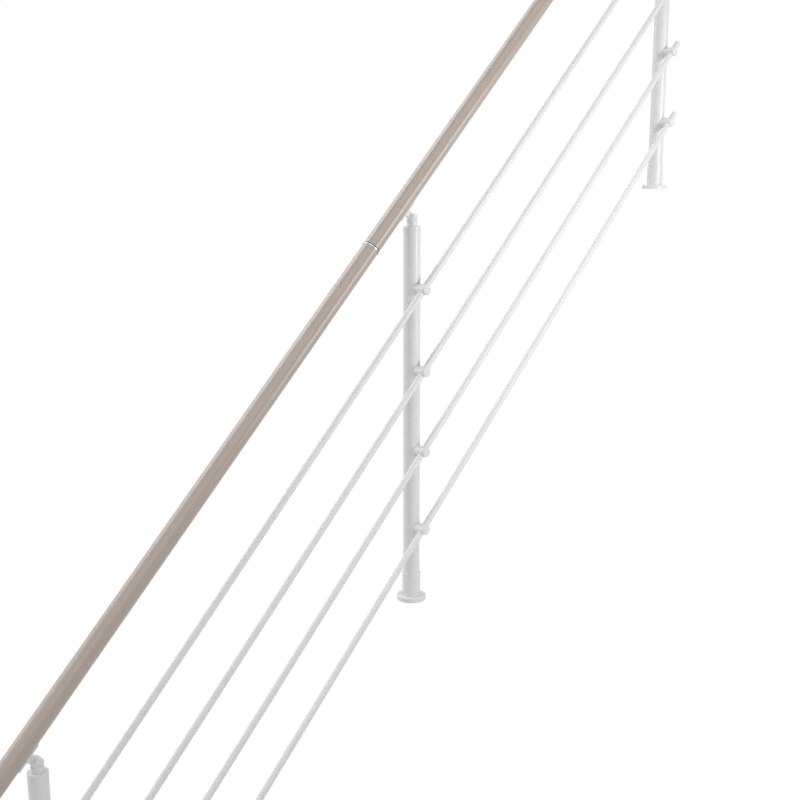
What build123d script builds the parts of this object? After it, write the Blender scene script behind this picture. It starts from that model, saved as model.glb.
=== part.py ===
from build123d import *
from math import atan2, cos, degrees, hypot, sin
import os

# Stair railing of round posts, sloping rods and a round wooden handrail, in millimetres.
# The origin is the centre of the lowest post's foot. X runs up the stair, Z is up, and the
# rods stand off the posts on the -Y side.

# Stair that the railing is fitted to
stair_rise = 207.5
stair_going = 207.5
steps_per_bay = 5
post_names = ["lower", "middle", "upper"]

# Posts
post_d = 42.0
post_wall = 2.0
post_top_z = 943.5
slip_fit = 0.2

# Foot of each post: fixing plate with a spigot, cover over its screws, sleeve round the tube
plate_t = 6.0
plate_screw_d = 5.5
plate_countersink_d = 10.6
plate_screw_circle_d = 58.0
plate_screw_count = 4
spigot_h = 60.0
spigot_wall = 3.0
cover_d = 75.0
cover_h = 12.0
cover_wall = 2.5
cover_edge_r = 3.0
sleeve_wall = 2.2
sleeve_top_z = 72.5
sleeve_chamfer = 1.0

# Cap that closes each post
cap_h = 10.5
cap_edge_r = 1.5
cap_seam_chamfer = 0.4
cap_plug_h = 15.0
cap_stud_d = 8.0
cap_stud_h = 14.0

# Rail bracket: a slotted knuckle on the cap and a tongue with a curved saddle plate
knuckle_d = 26.0
knuckle_pivot_h = 17.0
knuckle_edge_chamfer = 0.8
tongue_t = 8.0
tongue_inset = 0.5
tongue_play = 0.2
tongue_end_gap = 1.5
pivot_screw_d = 6.0
pivot_head_d = 10.0
pivot_head_sink = 3.0
bracket_reach = 29.5
neck_w = 16.0
neck_flare_r = 10.0
saddle_l = 62.0
saddle_w = 24.0
saddle_t = 3.0
saddle_corner_r = 6.0
saddle_screw_d = 5.0
saddle_screw_spacing = 48.0

# Handrail in one section for each post, joined by bright rings with a groove and a dowel each way
rail_d = 42.0
rail_overhang = 215.0
rail_joint_before_post = 193.5
ring_proud = 1.25
ring_t = 3.5
ring_groove_w = 2.5
ring_groove_depth = 2.5
dowel_d = 16.0
dowel_h = 30.0
end_cap_t = 4.0
end_cap_edge_r = 1.8

# Rods and the holders that carry them beside the posts
rod_d = 16.0
rod_wall = 1.5
rod_count = 4
rod_first_h = 195.8
rod_spacing = 202.4
rod_offset = 42.0
rod_overhang = 36.0
rod_plug_t = 2.0
rod_plug_edge_r = 0.9
rod_plug_h = 12.0
holder_d = 26.0
holder_nose = 12.5
holder_edge_r = 3.0
holder_grub_d = 5.0
holder_stud_d = 6.0
holder_stud_h = 9.0
running_fit = 0.1

# Sizes that follow from the ones above
bay_going = steps_per_bay * stair_going
bay_rise = steps_per_bay * stair_rise
bay_slope_l = hypot(bay_going, bay_rise)
pitch = atan2(stair_rise, stair_going)
uphill = Vector(cos(pitch), 0, sin(pitch))
outward = Vector(-sin(pitch), 0, cos(pitch))
last_post = len(post_names) - 1
post_inner_d = post_d - 2 * post_wall
plate_d = cover_d - 2 * cover_wall - 2 * slip_fit
sleeve_inner_d = post_d + 2 * slip_fit
sleeve_d = sleeve_inner_d + 2 * sleeve_wall
cap_top_z = post_top_z + cap_h
pivot_z = cap_top_z + knuckle_pivot_h
tongue_r = knuckle_d / 2 - tongue_inset
slot_r = tongue_r + tongue_end_gap
pivot_to_rail = bracket_reach + rail_d / 2
rail_axis_h = pivot_z + pivot_to_rail / cos(pitch)
rail_seat_r = rail_d / 2 + running_fit
holder_seat_r = post_d / 2 + running_fit

os.makedirs("parts", exist_ok=True)


def save(piece, name):
    piece.label = name
    export_step(piece, f"parts/{name}.step")


def foot_of(index):
    """Centre of the foot of one post."""
    return Vector(index * bay_going, 0, index * bay_rise)


def level(index, height):
    """Horizontal plane at a height above one post's foot."""
    return Plane(foot_of(index) + Vector(0, 0, height))


def side(index, height):
    """Upright plane through a post's axis, facing the rods, with its origin at a height above the foot."""
    return Plane(foot_of(index) + Vector(0, 0, height), x_dir=(1, 0, 0), z_dir=(0, -1, 0))


def along_slope(start, distance):
    """Plane square to the slope, a distance uphill from a point."""
    return Plane(start + uphill * distance, x_dir=(0, 1, 0), z_dir=uphill)


# Fixing plate, screwed to the tread, with the spigot that the post slides over
def base_plate(index):
    with BuildPart() as plate:
        with BuildSketch(level(index, 0)):
            Circle(plate_d / 2)
        extrude(amount=plate_t)
        with BuildSketch(level(index, plate_t)):
            Circle(post_inner_d / 2 - slip_fit)
            Circle(post_inner_d / 2 - slip_fit - spigot_wall, mode=Mode.SUBTRACT)
        extrude(amount=spigot_h)
        with Locations(level(index, plate_t)):
            with PolarLocations(plate_screw_circle_d / 2, plate_screw_count, start_angle=45):
                CounterSinkHole(
                    radius=plate_screw_d / 2,
                    counter_sink_radius=plate_countersink_d / 2,
                    depth=plate_t,
                    counter_sink_angle=90,
                )
    return plate.part


# Round cover over the plate and its screws, open below
def base_cover(index):
    with BuildPart() as cover:
        with BuildSketch(level(index, 0)):
            Circle(cover_d / 2)
        extrude(amount=cover_h)
        fillet(cover.faces().sort_by(Axis.Z)[-1].edges(), radius=cover_edge_r)
        with BuildSketch(level(index, 0)):
            Circle(cover_d / 2 - cover_wall)
        extrude(amount=cover_h - cover_wall, mode=Mode.SUBTRACT)
        with BuildSketch(level(index, 0)):
            Circle(sleeve_d / 2 + slip_fit)
        extrude(amount=cover_h, mode=Mode.SUBTRACT)
    return cover.part


# Sleeve round the lower end of the tube, standing on the plate, its top edge cut to a bright chamfer
def base_sleeve(index):
    with BuildPart() as sleeve:
        with BuildSketch(level(index, plate_t)):
            Circle(sleeve_d / 2)
        extrude(amount=sleeve_top_z - plate_t)
        chamfer(sleeve.faces().sort_by(Axis.Z)[-1].edges(), length=sleeve_chamfer)
        with BuildSketch(level(index, plate_t)):
            Circle(sleeve_inner_d / 2)
        extrude(amount=sleeve_top_z - plate_t, mode=Mode.SUBTRACT)
    return sleeve.part


# Post tube, with a hole on the rod side for each holder's stud
def post_tube(index):
    with BuildPart() as tube:
        with BuildSketch(level(index, plate_t)):
            Circle(post_d / 2)
            Circle(post_inner_d / 2, mode=Mode.SUBTRACT)
        extrude(amount=post_top_z - plate_t)
        for rod in range(rod_count):
            with BuildSketch(side(index, rod_first_h + rod * rod_spacing)):
                Circle(holder_stud_d / 2 + slip_fit)
            extrude(amount=post_d, mode=Mode.SUBTRACT)
    return tube.part


# Cap with a fine chamfer at its seam with the tube, a plug inside the tube and a hole for the knuckle's stud
def post_cap(index):
    with BuildPart() as cap:
        with BuildSketch(level(index, post_top_z)):
            Circle(post_d / 2)
        extrude(amount=cap_h)
        fillet(cap.faces().sort_by(Axis.Z)[-1].edges(), radius=cap_edge_r)
        chamfer(cap.faces().sort_by(Axis.Z)[0].edges(), length=cap_seam_chamfer)
        with BuildSketch(level(index, post_top_z)):
            Circle(post_inner_d / 2 - slip_fit)
        extrude(amount=-cap_plug_h)
        with BuildSketch(level(index, cap_top_z)):
            Circle(cap_stud_d / 2 + running_fit)
        extrude(amount=-(cap_h + cap_plug_h), mode=Mode.SUBTRACT)
    return cap.part


# Knuckle of the rail bracket: a short round post with a round-bottomed slot, a rounded top and a
# counterbored pivot hole
def bracket_knuckle(index):
    with BuildPart() as knuckle:
        with BuildSketch(side(index, cap_top_z)):
            Rectangle(knuckle_d, knuckle_pivot_h, align=(Align.CENTER, Align.MIN))
            with Locations((0, knuckle_pivot_h)):
                Circle(knuckle_d / 2)
        extrude(amount=knuckle_d / 2, both=True)
        with BuildSketch(level(index, cap_top_z)):
            Circle(knuckle_d / 2)
        extrude(amount=knuckle_pivot_h + knuckle_d / 2, mode=Mode.INTERSECT)
        chamfer(knuckle.faces().sort_by(Axis.Z)[0].edges(), length=knuckle_edge_chamfer)
        with BuildSketch(side(index, pivot_z)):
            Circle(slot_r)
            Rectangle(2 * slot_r, knuckle_d, align=(Align.CENTER, Align.MIN))
        extrude(amount=tongue_t / 2 + tongue_play, both=True, mode=Mode.SUBTRACT)
        with BuildSketch(side(index, pivot_z)):
            Circle(pivot_screw_d / 2 + running_fit)
        extrude(amount=knuckle_d, both=True, mode=Mode.SUBTRACT)
        for facing in (1, -1):
            with BuildSketch(side(index, pivot_z).offset(facing * (knuckle_d / 2 - pivot_head_sink))):
                Circle(pivot_head_d / 2)
            extrude(amount=facing * knuckle_d, mode=Mode.SUBTRACT)
        with BuildSketch(level(index, cap_top_z)):
            Circle(cap_stud_d / 2)
        extrude(amount=-cap_stud_h)
    return knuckle.part


# Tongue that tilts in the knuckle, flaring into the saddle plate that is screwed under the handrail
def bracket_saddle(index):
    pivot = foot_of(index) + Vector(0, 0, pivot_z)
    under_rail = pivot + outward * pivot_to_rail
    flare_top = pivot_to_rail - rail_seat_r - saddle_t / 2
    flare_side = neck_w / 2 + neck_flare_r
    with BuildPart() as saddle:
        with BuildSketch(Plane(under_rail, x_dir=(0, 1, 0), z_dir=uphill)):
            Circle(rail_seat_r + saddle_t)
        extrude(amount=saddle_l / 2, both=True)
        with BuildSketch(Plane(under_rail, x_dir=uphill, z_dir=-outward)):
            RectangleRounded(saddle_l, saddle_w, saddle_corner_r)
        extrude(amount=rail_d, mode=Mode.INTERSECT)
        with BuildSketch(Plane(pivot, x_dir=uphill, z_dir=(0, -1, 0))):
            Circle(tongue_r)
            Rectangle(neck_w, pivot_to_rail, align=(Align.CENTER, Align.MIN))
            with Locations((0, flare_top)):
                Rectangle(2 * flare_side, neck_flare_r, align=(Align.CENTER, Align.MAX))
            with Locations((-flare_side, flare_top - neck_flare_r), (flare_side, flare_top - neck_flare_r)):
                Circle(neck_flare_r, mode=Mode.SUBTRACT)
        extrude(amount=tongue_t / 2, both=True)
        with BuildSketch(Plane(under_rail, x_dir=(0, 1, 0), z_dir=uphill)):
            Circle(rail_seat_r)
        extrude(amount=saddle_l, both=True, mode=Mode.SUBTRACT)
        with BuildSketch(Plane(under_rail, x_dir=uphill, z_dir=-outward)):
            with GridLocations(saddle_screw_spacing, 0, 2, 1):
                Circle(saddle_screw_d / 2)
        extrude(amount=rail_d, mode=Mode.SUBTRACT)
        with BuildSketch(Plane(pivot, x_dir=uphill, z_dir=(0, -1, 0))):
            Circle(pivot_screw_d / 2 + running_fit)
        extrude(amount=tongue_t, both=True, mode=Mode.SUBTRACT)
    return saddle.part


# Rod holder: a round arm hollowed to sit on the tube, with a stud into it, the rod's sloping bore
# and a grub screw hole square to the rod, from below
def rod_holder(index, rod):
    height = rod_first_h + rod * rod_spacing
    rod_crossing = foot_of(index) + Vector(0, -rod_offset, height)
    with BuildPart() as holder:
        with BuildSketch(side(index, height)):
            Circle(holder_d / 2)
        extrude(amount=rod_offset + holder_nose)
        fillet(holder.faces().sort_by(Axis.Y)[0].edges(), radius=holder_edge_r)
        with BuildSketch(level(index, height)):
            Circle(holder_seat_r)
        extrude(amount=holder_d, both=True, mode=Mode.SUBTRACT)
        with BuildSketch(side(index, height).offset(post_d / 2 - holder_stud_h)):
            Circle(holder_stud_d / 2)
        extrude(amount=2 * holder_stud_h)
        with BuildSketch(Plane(rod_crossing, x_dir=(0, 1, 0), z_dir=uphill)):
            Circle(rod_d / 2 + running_fit)
        extrude(amount=holder_d, both=True, mode=Mode.SUBTRACT)
        with BuildSketch(Plane(rod_crossing, x_dir=(0, 1, 0), z_dir=-outward)):
            Circle(holder_grub_d / 2)
        extrude(amount=holder_d, mode=Mode.SUBTRACT)
    return holder.part


# Rods, each a straight tube through the holders of every post
rod_l = last_post * bay_slope_l + 2 * rod_overhang


def rod_start(rod):
    """Lower end of one rod's axis."""
    return Vector(0, -rod_offset, rod_first_h + rod * rod_spacing) - uphill * rod_overhang


def rod_tube(rod):
    with BuildPart() as tube:
        with BuildSketch(along_slope(rod_start(rod), 0)):
            Circle(rod_d / 2)
            Circle(rod_d / 2 - rod_wall, mode=Mode.SUBTRACT)
        extrude(amount=rod_l)
    return tube.part


# Plugs that close the rods' ends, one at each rod on the same end of the railing
def rod_plugs(at_top):
    distance = rod_l if at_top else 0
    facing = 1 if at_top else -1
    with BuildPart() as plugs:
        for rod in range(rod_count):
            mouth = along_slope(rod_start(rod), distance)
            with BuildSketch(mouth):
                Circle(rod_d / 2)
            extrude(amount=facing * rod_plug_t)
            end_face = plugs.faces(Select.LAST).sort_by(Axis(mouth.origin, uphill * facing))[-1]
            fillet(end_face.edges(), radius=rod_plug_edge_r)
            with BuildSketch(mouth):
                Circle(rod_d / 2 - rod_wall - running_fit)
            extrude(amount=-facing * rod_plug_h)
    return plugs.part


# Handrail sections, each with a dowel hole in both ends
rail_start = Vector(0, 0, rail_axis_h) - uphill * rail_overhang
rail_l = last_post * bay_slope_l + 2 * rail_overhang
joint_w = ring_t + ring_groove_w


def rail_joint(post):
    """Distance up the handrail to the middle of the joint below one post."""
    return rail_overhang + post * bay_slope_l - rail_joint_before_post


def rail_section(post):
    low = 0 if post == 0 else rail_joint(post) + joint_w / 2
    high = rail_l if post == last_post else rail_joint(post + 1) - joint_w / 2
    with BuildPart() as rail:
        with BuildSketch(along_slope(rail_start, low)):
            Circle(rail_d / 2)
        extrude(amount=high - low)
        with BuildSketch(along_slope(rail_start, low)):
            Circle(dowel_d / 2 + running_fit)
        extrude(amount=dowel_h, mode=Mode.SUBTRACT)
        with BuildSketch(along_slope(rail_start, high)):
            Circle(dowel_d / 2 + running_fit)
        extrude(amount=-dowel_h, mode=Mode.SUBTRACT)
    return rail.part


# Ring on the end of the lower section, turned in one piece with the groove above it and its dowel
def rail_ring(post):
    lower_face = rail_joint(post) - joint_w / 2
    with BuildPart() as ring:
        with BuildSketch(along_slope(rail_start, lower_face)):
            Circle(rail_d / 2 + ring_proud)
        extrude(amount=ring_t)
        chamfer(ring.edges().filter_by(GeomType.CIRCLE), length=ring_proud / 2)
        with BuildSketch(along_slope(rail_start, lower_face + ring_t)):
            Circle(rail_d / 2 - ring_groove_depth)
        extrude(amount=ring_groove_w)
        with BuildSketch(along_slope(rail_start, lower_face - dowel_h)):
            Circle(dowel_d / 2)
        extrude(amount=joint_w + 2 * dowel_h)
    return ring.part


# Cap on each free end of the handrail
def rail_end_cap(at_top):
    distance = rail_l if at_top else 0
    facing = 1 if at_top else -1
    mouth = along_slope(rail_start, distance)
    with BuildPart() as cap:
        with BuildSketch(mouth):
            Circle(rail_d / 2)
        extrude(amount=facing * end_cap_t)
        end_face = cap.faces().sort_by(Axis(mouth.origin, uphill * facing))[-1]
        fillet(end_face.edges(), radius=end_cap_edge_r)
        with BuildSketch(mouth):
            Circle(dowel_d / 2)
        extrude(amount=-facing * dowel_h)
    return cap.part


for index, place in enumerate(post_names):
    save(base_plate(index), f"{place}_base_plate")
    save(base_cover(index), f"{place}_base_cover")
    save(base_sleeve(index), f"{place}_base_sleeve")
    save(post_tube(index), f"{place}_post")
    save(post_cap(index), f"{place}_post_cap")
    save(bracket_knuckle(index), f"{place}_bracket_knuckle")
    save(bracket_saddle(index), f"{place}_bracket_saddle")
    for rod in range(rod_count):
        save(rod_holder(index, rod), f"{place}_rod_holder_{rod + 1}")

for rod in range(rod_count):
    save(rod_tube(rod), f"rod_{rod + 1}")
save(rod_plugs(False), "rod_plugs_low_end")
save(rod_plugs(True), "rod_plugs_high_end")

for post in range(len(post_names)):
    save(rail_section(post), f"handrail_{post + 1}")
for post in range(1, len(post_names)):
    save(rail_ring(post), f"handrail_ring_{post}")
save(rail_end_cap(False), "handrail_cap_low_end")
save(rail_end_cap(True), "handrail_cap_high_end")

print(f"pitch {degrees(pitch):.2f} degrees, bay {bay_slope_l:.1f} mm along the slope")
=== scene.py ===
from math import cos, radians, sin, sqrt

import bmesh
import bpy
from mathutils import Matrix, Vector


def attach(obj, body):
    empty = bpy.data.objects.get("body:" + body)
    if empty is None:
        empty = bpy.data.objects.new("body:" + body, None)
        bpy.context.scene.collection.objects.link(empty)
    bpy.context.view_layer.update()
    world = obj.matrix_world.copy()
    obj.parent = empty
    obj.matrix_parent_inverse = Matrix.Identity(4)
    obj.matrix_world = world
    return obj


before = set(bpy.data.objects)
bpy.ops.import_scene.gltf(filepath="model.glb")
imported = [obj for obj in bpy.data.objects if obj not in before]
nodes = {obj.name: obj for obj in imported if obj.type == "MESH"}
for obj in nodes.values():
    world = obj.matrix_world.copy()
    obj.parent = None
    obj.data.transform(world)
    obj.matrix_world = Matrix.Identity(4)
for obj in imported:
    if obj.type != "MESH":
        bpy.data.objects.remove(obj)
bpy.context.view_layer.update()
bpy.ops.object.select_all(action="DESELECT")

# Base plates: turned aluminium discs, each with a spigot that the post slides over. They are left
# bare, with the rings of the lathe on them, and countersunk screws hold them to the stair under
# the round covers.
posts = ["lower", "middle", "upper"]
bay = 1.0375
feet = {place: Vector((index * bay, 0, index * bay)) for index, place in enumerate(posts)}


def start_finish(name, metallic=0.0):
    """A new material, with its nodes, its shader and the object's own coordinates."""
    finish = bpy.data.materials.new(name)
    finish.use_nodes = True
    tree = finish.node_tree
    surface = tree.nodes["Principled BSDF"]
    surface.inputs["Metallic"].default_value = metallic
    place = tree.nodes.new("ShaderNodeTexCoord").outputs["Object"]
    return finish, tree, surface, place


def laid_out(tree, place, centre=(0, 0, 0), turn=(0, 0, 0), stretch=(1, 1, 1)):
    """Coordinates centred, turned and stretched, so that a pattern lies along a piece."""
    layout = tree.nodes.new("ShaderNodeMapping")
    layout.vector_type = "TEXTURE"
    layout.inputs["Location"].default_value = centre
    layout.inputs["Rotation"].default_value = turn
    layout.inputs["Scale"].default_value = stretch
    tree.links.new(place, layout.inputs["Vector"])
    return layout.outputs["Vector"]


def mottle(tree, place, size, detail=2.0):
    """Soft irregular patches of about one size, in metres."""
    noise = tree.nodes.new("ShaderNodeTexNoise")
    noise.inputs["Scale"].default_value = 1 / size
    noise.inputs["Detail"].default_value = detail
    tree.links.new(place, noise.inputs["Vector"])
    return noise.outputs["Fac"]


def ranged(tree, amount, low, high, start=0.3, end=0.7):
    """Turns a pattern's range into another, and clips what lies beyond it."""
    change = tree.nodes.new("ShaderNodeMapRange")
    change.inputs["From Min"].default_value = start
    change.inputs["From Max"].default_value = end
    change.inputs["To Min"].default_value = low
    change.inputs["To Max"].default_value = high
    tree.links.new(amount, change.inputs["Value"])
    return change.outputs["Result"]


def blended(tree, amount, first, second, start=0.3, end=0.7):
    """A colour that goes from one to another with a pattern; each is a colour or an output."""
    mix = tree.nodes.new("ShaderNodeMix")
    mix.data_type = "RGBA"
    tree.links.new(ranged(tree, amount, 0.0, 1.0, start, end), mix.inputs["Factor"])
    for colour, socket in ((first, mix.inputs["A"]), (second, mix.inputs["B"])):
        if isinstance(colour, tuple):
            socket.default_value = (*colour, 1)
        else:
            tree.links.new(colour, socket)
    return mix.outputs["Result"]


def pressed_in(tree, surface, amount, depth):
    """Adds a pattern to the surface as relief, to a depth in metres."""
    bump = tree.nodes.new("ShaderNodeBump")
    bump.inputs["Strength"].default_value = 1.0
    bump.inputs["Distance"].default_value = depth
    tree.links.new(amount, bump.inputs["Height"])
    if surface.inputs["Normal"].is_linked:
        tree.links.new(surface.inputs["Normal"].links[0].from_socket, bump.inputs["Normal"])
    tree.links.new(bump.outputs["Normal"], surface.inputs["Normal"])


def turned_aluminium(name, centre, turn=(0, 0, 0),
                     dark=(0.77, 0.77, 0.765), light=(0.83, 0.83, 0.83)):
    """Bare aluminium with the rings that a lathe leaves round the piece's own axis."""
    finish, tree, surface, place = start_finish(name, metallic=1.0)
    on_axis = laid_out(tree, place, centre, turn)
    rings = tree.nodes.new("ShaderNodeTexWave")
    rings.wave_type = "RINGS"
    rings.rings_direction = "Z"
    rings.inputs["Scale"].default_value = 700
    rings.inputs["Distortion"].default_value = 1.5
    rings.inputs["Detail"].default_value = 2
    tree.links.new(on_axis, rings.inputs["Vector"])
    cloudy = mottle(tree, place, 0.012)
    tree.links.new(blended(tree, cloudy, dark, light), surface.inputs["Base Color"])
    tree.links.new(ranged(tree, cloudy, 0.24, 0.34), surface.inputs["Roughness"])
    pressed_in(tree, surface, rings.outputs["Fac"], 0.000006)
    return finish, tree, surface, on_axis


def dress(name, finish):
    """Gives a CAD piece its material."""
    nodes[name].data.materials.clear()
    nodes[name].data.materials.append(finish)


for place in posts:
    dress(f"{place}_base_plate", turned_aluminium(f"{place}_plate_aluminium", feet[place])[0])

# Base sleeves and covers: turned aluminium with a white satin powder coat, whose skin has the
# slight orange peel of a baked powder. A sleeve closes round each foot of the tube, and a cover
# hides the plate and its screws.


def powder_coat(name):
    """White satin powder coat: almost even in colour, with the fine waves of baked powder."""
    finish, tree, surface, place = start_finish(name)
    drift = mottle(tree, place, 0.08)
    coat = blended(tree, drift, (0.77, 0.77, 0.775), (0.795, 0.795, 0.795))
    tree.links.new(coat, surface.inputs["Base Color"])
    tree.links.new(ranged(tree, drift, 0.272, 0.284), surface.inputs["Roughness"])
    pressed_in(tree, surface, mottle(tree, place, 0.0012), 0.000008)
    return finish, tree, surface, place


white_coat = powder_coat("white_powder_coat")[0]
for place in posts:
    dress(f"{place}_base_sleeve", white_coat)
    dress(f"{place}_base_cover", white_coat)

# Posts: extruded round aluminium tube, powder coated white. The die leaves faint lines along the
# tube that still show through the coat. Each post slides over the spigot of its base plate.


def coated_tube(name, lean):
    """The same powder coat over extruded tube, with faint lines along its length."""
    finish, tree, surface, place = powder_coat(name)
    along = laid_out(tree, place, turn=(0, lean, 0), stretch=(1, 1, 150))
    pressed_in(tree, surface, mottle(tree, along, 0.0016, 3.0), 0.000005)
    return finish


upright_tube = coated_tube("coated_post_tube", 0)
for place in posts:
    dress(f"{place}_post", upright_tube)

# Post caps, knuckles and saddles: turned and milled aluminium with the same coat. The cap's plug
# fits in the tube, the knuckle's stud goes down into the cap, and the saddle's tongue stands in the
# slot of the knuckle.
for place in posts:
    dress(f"{place}_post_cap", white_coat)
    dress(f"{place}_bracket_knuckle", white_coat)
    dress(f"{place}_bracket_saddle", white_coat)

# Pivot screws: a screw with a flat round head and a hexagon socket goes across each knuckle,
# through the tongue of the saddle, into a nut of the same shape. Both are coated with the
# bracket and lie in its counterbores.
pivot_height = 0.971
pivot_seat = 0.010
pivot_head_d = 0.0096
pivot_head_h = 0.0022
pivot_edge = 0.0003
pivot_shank_d = 0.0059
pivot_shank_l = 0.0190
pivot_tip_l = 0.0006
pivot_key = 0.004
pivot_key_depth = 0.0014


def select_faces(test):
    """Selects, in edit mode, the faces that pass a test, and no others."""
    mesh = bmesh.from_edit_mesh(bpy.context.object.data)
    for face in mesh.faces:
        face.select_set(False)
    for face in mesh.faces:
        if test(face):
            face.select_set(True)
    bmesh.update_edit_mesh(bpy.context.object.data)


def headed_screw(name, head_d, head_h, edge, shank_d, shank_l, tip_l, key, key_depth):
    """A screw along Z, its head above the origin with a hexagon socket, its shank below."""
    bpy.ops.object.select_all(action="DESELECT")
    bpy.ops.mesh.primitive_cylinder_add(vertices=48, radius=head_d / 2, depth=head_h,
                                        location=(0, 0, head_h / 2))
    screw = bpy.context.object
    screw.name = name
    bpy.ops.object.transform_apply(location=True, rotation=True, scale=True)
    bpy.ops.object.mode_set(mode="EDIT")
    bpy.ops.mesh.select_mode(type="FACE")
    select_faces(lambda face: face.normal.z > 0.9)
    bpy.ops.mesh.bevel(offset=edge, segments=3, affect="EDGES")
    if shank_l:
        select_faces(lambda face: face.normal.z < -0.9)
        bpy.ops.mesh.inset(thickness=(head_d - shank_d) / 2)
        bpy.ops.mesh.extrude_region_move(TRANSFORM_OT_translate={"value": (0, 0, -shank_l)})
        bpy.ops.mesh.extrude_region_move(TRANSFORM_OT_translate={"value": (0, 0, -tip_l)})
        bpy.ops.transform.resize(value=(0.3, 0.3, 1))
    bpy.ops.object.mode_set(mode="OBJECT")
    cut_socket(screw, head_h, key, key_depth)
    return screw


def cut_socket(screw, top, key, key_depth):
    """Cuts a hexagon socket into the top of a screw."""
    bpy.ops.mesh.primitive_cylinder_add(vertices=6, radius=key / sqrt(3), depth=2 * key_depth,
                                        location=(0, 0, top))
    hexagon = bpy.context.object
    cut = screw.modifiers.new("socket", "BOOLEAN")
    cut.operation = "DIFFERENCE"
    cut.object = hexagon
    bpy.context.view_layer.objects.active = screw
    bpy.ops.object.modifier_apply(modifier=cut.name)
    bpy.data.objects.remove(hexagon)
    bpy.ops.object.select_all(action="DESELECT")
    screw.select_set(True)
    bpy.ops.object.shade_smooth_by_angle(angle=radians(35))


def fitted(pattern, name, seat, pointing, finish):
    """A copy of a screw with its own mesh, its seat at a place and its head pointing outwards."""
    bpy.ops.object.select_all(action="DESELECT")
    pattern.select_set(True)
    bpy.context.view_layer.objects.active = pattern
    bpy.ops.object.duplicate()
    piece = bpy.context.object
    piece.name = name
    piece.location = seat
    piece.rotation_euler = pointing.to_track_quat("Z", "X").to_euler()
    bpy.ops.object.transform_apply(location=True, rotation=True, scale=True)
    piece.data.materials.append(finish)
    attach(piece, "root")
    return piece


screw_pattern = headed_screw("pivot_screw_pattern", pivot_head_d, pivot_head_h, pivot_edge,
                             pivot_shank_d, pivot_shank_l, pivot_tip_l, pivot_key, pivot_key_depth)
nut_pattern = headed_screw("pivot_nut_pattern", pivot_head_d, pivot_head_h, pivot_edge,
                           0, 0, 0, pivot_key, pivot_key_depth)
towards_rods = Vector((0, -1, 0))
for place in posts:
    pivot = feet[place] + Vector((0, 0, pivot_height))
    fitted(screw_pattern, f"{place}_pivot_screw", pivot + towards_rods * pivot_seat, towards_rods,
           white_coat)
    fitted(nut_pattern, f"{place}_pivot_nut", pivot - towards_rods * pivot_seat, -towards_rods,
           white_coat)
bpy.data.objects.remove(screw_pattern)
bpy.data.objects.remove(nut_pattern)

# Rail screws: two round-headed wood screws of bright steel go up through each saddle into the
# handrail, one on each side of the neck.
slope = radians(45)
uphill = Vector((cos(slope), 0, sin(slope)))
off_slope = Vector((-sin(slope), 0, cos(slope)))
pivot_to_rail = 0.0505
saddle_under = 0.0241
saddle_screw_reach = 0.024
rail_head_d = 0.0085
rail_head_h = 0.0026
rail_head_edge = 0.0012
rail_shank_d = 0.0042
rail_shank_l = 0.0150
rail_tip_l = 0.0050
rail_key = 0.003
rail_key_depth = 0.0015


def bright_steel():
    """Bright plain steel with fine scratches, as a drawn screw has."""
    finish, tree, surface, place = start_finish("bright_screw_steel", metallic=1.0)
    scratches = mottle(tree, laid_out(tree, place, stretch=(1, 1, 8)), 0.0008, 3.0)
    steel = blended(tree, scratches, (0.60, 0.60, 0.60), (0.70, 0.70, 0.695))
    tree.links.new(steel, surface.inputs["Base Color"])
    tree.links.new(ranged(tree, scratches, 0.22, 0.36), surface.inputs["Roughness"])
    pressed_in(tree, surface, scratches, 0.00001)
    return finish


screw_steel = bright_steel()
screw_pattern = headed_screw("rail_screw_pattern", rail_head_d, rail_head_h, rail_head_edge,
                             rail_shank_d, rail_shank_l, rail_tip_l, rail_key, rail_key_depth)
for place in posts:
    under_rail = feet[place] + Vector((0, 0, pivot_height)) + off_slope * pivot_to_rail
    for end, side in (("low", -1), ("high", 1)):
        seat = under_rail + uphill * (side * saddle_screw_reach) - off_slope * saddle_under
        fitted(screw_pattern, f"{place}_rail_screw_{end}", seat, -off_slope, screw_steel)
bpy.data.objects.remove(screw_pattern)

# Rod holders: turned aluminium arms with the same white coat, seated on the round post by a stud,
# each bored on the slope for its rod.
rods = [1, 2, 3, 4]
for place in posts:
    for rod in rods:
        dress(f"{place}_rod_holder_{rod}", white_coat)

# Rod screws: a headless screw with a hexagon socket comes up square to the slope from below each
# holder and presses on the rod.
rod_first_h = 0.1958
rod_spacing = 0.2024
rod_offset = 0.042
rod_screw_d = 0.0048
rod_screw_l = 0.0042
rod_screw_edge = 0.0003
rod_screw_key = 0.0025
rod_screw_key_depth = 0.002
rod_screw_from = 0.0081


def headless_screw(name, diameter, length, edge, key, key_depth):
    """A short screw along Z from the origin, both ends chamfered, with a socket in its top."""
    bpy.ops.object.select_all(action="DESELECT")
    bpy.ops.mesh.primitive_cylinder_add(vertices=32, radius=diameter / 2, depth=length,
                                        location=(0, 0, length / 2))
    screw = bpy.context.object
    screw.name = name
    bpy.ops.object.transform_apply(location=True, rotation=True, scale=True)
    bpy.ops.object.mode_set(mode="EDIT")
    bpy.ops.mesh.select_mode(type="FACE")
    select_faces(lambda face: abs(face.normal.z) > 0.9)
    bpy.ops.mesh.bevel(offset=edge, segments=1, affect="EDGES")
    bpy.ops.object.mode_set(mode="OBJECT")
    cut_socket(screw, length, key, key_depth)
    return screw


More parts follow.
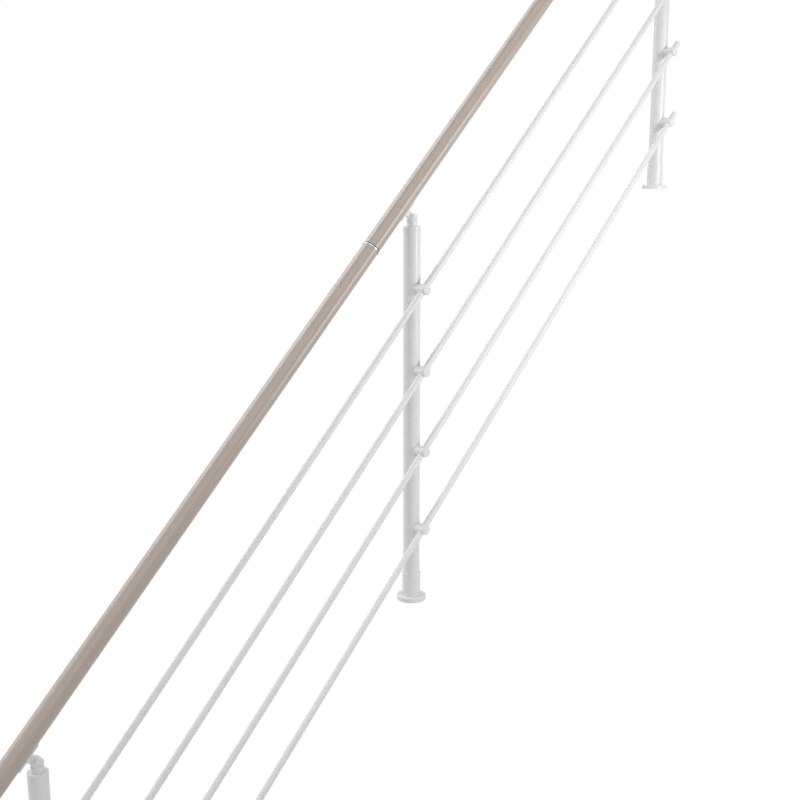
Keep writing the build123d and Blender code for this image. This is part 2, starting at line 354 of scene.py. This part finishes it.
screw_pattern = headless_screw("rod_screw_pattern", rod_screw_d, rod_screw_l, rod_screw_edge,
                               rod_screw_key, rod_screw_key_depth)
for place in posts:
    for rod in rods:
        crossing = feet[place] + Vector((0, -rod_offset, rod_first_h + (rod - 1) * rod_spacing))
        seat = crossing - off_slope * rod_screw_from
        fitted(screw_pattern, f"{place}_rod_screw_{rod}", seat, -off_slope, screw_steel)
bpy.data.objects.remove(screw_pattern)

# Rods: drawn aluminium tube with the same coat, pushed through the holders of every post, and
# closed at both ends with plugs of white moulded plastic.
sloping_tube = coated_tube("coated_rod_tube", slope)
for rod in rods:
    dress(f"rod_{rod}", sloping_tube)


def moulded_plastic():
    """White moulded plastic with the fine sparked grain of its mould."""
    finish, tree, surface, place = start_finish("white_moulded_plastic")
    drift = mottle(tree, place, 0.01)
    plastic = blended(tree, drift, (0.785, 0.785, 0.775), (0.80, 0.80, 0.795))
    tree.links.new(plastic, surface.inputs["Base Color"])
    grain = mottle(tree, place, 0.0003)
    tree.links.new(ranged(tree, grain, 0.44, 0.48), surface.inputs["Roughness"])
    pressed_in(tree, surface, grain, 0.00001)
    return finish


white_plastic = moulded_plastic()
for end in ("low", "high"):
    dress(f"rod_plugs_{end}_end", white_plastic)

# Handrail: round sections of beech, limed and lacquered to a satin finish. The grain runs along
# the slope, each section is cut from its own board, and dowels join them at the rings.


def limed_beech(name, shift):
    """Pale greyish beech: broad growth bands, long fibres, short flecks, all under a lacquer."""
    finish, tree, surface, place = start_finish(name)
    board = laid_out(tree, place, centre=shift, turn=(0, -slope, 0))
    # Growth bands, cut as wide arcs and drawn out along the rail
    bent = laid_out(tree, board, stretch=(14, 1, 1))
    bands = tree.nodes.new("ShaderNodeTexWave")
    bands.wave_type = "RINGS"
    bands.rings_direction = "X"
    bands.inputs["Scale"].default_value = 95
    bands.inputs["Distortion"].default_value = 5
    bands.inputs["Detail"].default_value = 3
    bands.inputs["Detail Scale"].default_value = 0.4
    tree.links.new(bent, bands.inputs["Vector"])
    # Fibres and flecks
    fibres = mottle(tree, laid_out(tree, board, stretch=(60, 1, 1)), 0.0011, 4.0)
    patches = mottle(tree, laid_out(tree, board, stretch=(7, 1, 1)), 0.02, 2.0)
    flecks = mottle(tree, laid_out(tree, board, stretch=(9, 1, 1)), 0.0005, 1.0)
    # Colours
    banded = blended(tree, bands.outputs["Fac"], (0.425, 0.347, 0.296), (0.450, 0.368, 0.316),
                     0.1, 0.9)
    streaked = blended(tree, fibres, banded, (0.480, 0.398, 0.347), 0.50, 0.78)
    shaded = blended(tree, patches, streaked, (0.425, 0.350, 0.303), 0.52, 0.85)
    flecked = blended(tree, flecks, shaded, (0.345, 0.270, 0.225), 0.66, 0.80)
    tree.links.new(flecked, surface.inputs["Base Color"])
    tree.links.new(ranged(tree, fibres, 0.32, 0.42), surface.inputs["Roughness"])
    surface.inputs["Coat Weight"].default_value = 0.6
    surface.inputs["Coat Roughness"].default_value = 0.28
    pressed_in(tree, surface, fibres, 0.00002)
    pressed_in(tree, surface, flecks, 0.00001)
    return finish


section_shifts = [(0.31, 0.060, 1.03), (0.12, -0.045, 1.10), (-0.57, 0.075, 0.96)]
for section, shift in enumerate(section_shifts, start=1):
    dress(f"handrail_{section}", limed_beech(f"limed_beech_{section}", shift))

# Rail rings: thin turned rings of bright bare aluminium that cover the joints of the handrail. Each
# has a dowel into both sections, and a narrow groove on its uphill side, where shade is painted
# dark.
rail_height = 1.0424
ring_back = 0.195
groove_starts = 0.0020
ring_spots = {1: feet["middle"], 2: feet["upper"]}


def ring_with_painted_groove_shade(name, centre):
    """Turned aluminium along the rail, with painted shade from where the groove starts."""
    finish, tree, surface, on_axis = turned_aluminium(name, centre, (0, radians(90) - slope, 0),
                                                      (0.46, 0.46, 0.455), (0.52, 0.52, 0.52))
    bright = surface.inputs["Base Color"].links[0].from_socket
    parts = tree.nodes.new("ShaderNodeSeparateXYZ")
    tree.links.new(on_axis, parts.inputs["Vector"])
    # Painted shade: from where the groove starts, the ring's colour turns near black for the shade
    # inside it
    groove_painted_shade = blended(tree, parts.outputs["Z"], bright, (0.17, 0.155, 0.145),
                      groove_starts - 0.0001, groove_starts)
    tree.links.new(groove_painted_shade, surface.inputs["Base Color"])
    return finish


for ring, foot in ring_spots.items():
    on_rail = foot + Vector((0, 0, rail_height)) - uphill * ring_back
    dress(f"handrail_ring_{ring}", ring_with_painted_groove_shade(f"ring_{ring}_aluminium", on_rail))

# Rail ends: turned aluminium caps with the white coat, pressed into both ends of the handrail.
for end in ("low", "high"):
    dress(f"handrail_cap_{end}_end", white_coat)

# Studio: a white floor and background that the camera and the reflections see as white, a pale
# ambient light, a strip softbox on the camera's right, and wide lamps behind the camera, on the
# left and above.
bpy.ops.object.select_all(action="DESELECT")
floor_size = 60
floor_grey = 0.86
floor_glow_level = 1.045
floor_glow_share = 0.9
bpy.ops.mesh.primitive_plane_add(size=floor_size, location=(1.0, 0, 0))
floor = bpy.context.object
floor.name = "floor"
floor_paint = bpy.data.materials.new("floor_white")
floor_paint.use_nodes = True
# Reflections find the glow by themselves, and sampling it as a lamp would only add grain
floor_paint.cycles.emission_sampling = "NONE"
tree = floor_paint.node_tree
tree.nodes.clear()
floor_output = tree.nodes.new("ShaderNodeOutputMaterial")
floor_mix = tree.nodes.new("ShaderNodeMixShader")
floor_matt = tree.nodes.new("ShaderNodeBsdfDiffuse")
floor_matt.inputs["Color"].default_value = (floor_grey, floor_grey, floor_grey, 1)
floor_glow = tree.nodes.new("ShaderNodeEmission")
floor_glow.inputs["Strength"].default_value = floor_glow_level
floor_rays = tree.nodes.new("ShaderNodeLightPath")
floor_share = tree.nodes.new("ShaderNodeMath")
floor_share.operation = "MULTIPLY"
floor_share.inputs[1].default_value = floor_glow_share


def white_to_these(tree, rays):
    """One for a ray from the camera, a reflection or a look through glass, otherwise nothing."""
    seen = rays.outputs["Is Camera Ray"]
    for kind in ("Is Glossy Ray", "Is Transmission Ray"):
        either = tree.nodes.new("ShaderNodeMath")
        either.operation = "MAXIMUM"
        tree.links.new(seen, either.inputs[0])
        tree.links.new(rays.outputs[kind], either.inputs[1])
        seen = either.outputs[0]
    return seen


tree.links.new(white_to_these(tree, floor_rays), floor_share.inputs[0])
tree.links.new(floor_share.outputs[0], floor_mix.inputs["Fac"])
tree.links.new(floor_matt.outputs[0], floor_mix.inputs[1])
tree.links.new(floor_glow.outputs[0], floor_mix.inputs[2])
tree.links.new(floor_mix.outputs[0], floor_output.inputs["Surface"])
floor.data.materials.append(floor_paint)

studio = bpy.data.worlds.new("studio")
bpy.context.scene.world = studio
studio.use_nodes = True
tree = studio.node_tree
ambient_level = 0.17
background_level = 1.0
sky = tree.nodes["Background"]
sky_rays = tree.nodes.new("ShaderNodeLightPath")
sky_strength = tree.nodes.new("ShaderNodeMapRange")
sky_strength.inputs["To Min"].default_value = ambient_level
sky_strength.inputs["To Max"].default_value = background_level
tree.links.new(white_to_these(tree, sky_rays), sky_strength.inputs["Value"])
tree.links.new(sky_strength.outputs["Result"], sky.inputs["Strength"])
sky.inputs["Color"].default_value = (1, 1, 1, 1)

camera_place = Vector((-0.9018, -1.9622, 2.1008))
camera_aim = Vector((0.68245, 0.70524, -0.19209))
camera_data = bpy.data.cameras.new("camera")
camera_data.sensor_width = 36
camera_data.lens = 36 * 1122.4 / 800
camera = bpy.data.objects.new("camera", camera_data)
bpy.context.scene.collection.objects.link(camera)
camera.location = camera_place
camera.rotation_euler = camera_aim.to_track_quat("-Z", "Y").to_euler()
bpy.context.scene.camera = camera

camera_side = Vector((-camera_aim.x, -camera_aim.y, 0)).normalized()
camera_right = Vector((camera_aim.y, -camera_aim.x, 0)).normalized()


def towards_lamp(round_right, above):
    """Direction of a lamp: angle round from the camera's side to its right, and angle up."""
    level = camera_side * cos(radians(round_right)) + camera_right * sin(radians(round_right))
    return level * cos(radians(above)) + Vector((0, 0, sin(radians(above))))


def hang_lamp(name, kind, strength, towards):
    """A lamp that shines against the direction it is seen in."""
    data = bpy.data.lights.new(name, kind)
    data.energy = strength
    lamp = bpy.data.objects.new(name, data)
    bpy.context.scene.collection.objects.link(lamp)
    lamp.rotation_euler = (-towards).to_track_quat("-Z", "Y").to_euler()
    return lamp


# Key lamp: a strip softbox on the camera's right, parallel to the stair, that the handrail and the
# posts show as a soft stripe
key_target = Vector((1.0375, 0, 1.95))
key_distance = 1.75
key_length = 1.5
key_width = 0.35
key_watts = 15.0
key_towards = towards_lamp(73, 4)
key_along = (uphill - key_towards * uphill.dot(key_towards)).normalized()
key_across = key_towards.cross(key_along)
key = hang_lamp("key", "AREA", key_watts, key_towards)
key.data.shape = "RECTANGLE"
key.data.size = key_length
key.data.size_y = key_width
key.location = key_target + key_towards * key_distance
key.rotation_euler = Matrix((key_along, key_across, key_towards)).transposed().to_euler()

# Far lamps: a wide one behind the camera, three round on the left, and a weak one from above
far_lamps = [
    ("front", 12, 48, 60, 0.90),
    ("left_front", -62, 22, 50, 0.27),
    ("left", -98, 12, 30, 0.50),
    ("left_back", -120, 45, 40, 1.00),
    ("top", 0, 90, 60, 0.18),
]
for name, round_right, above, width, strength in far_lamps:
    lamp = hang_lamp(name, "SUN", strength, towards_lamp(round_right, above))
    lamp.data.angle = radians(width)

bpy.context.scene.view_settings.view_transform = "Standard"
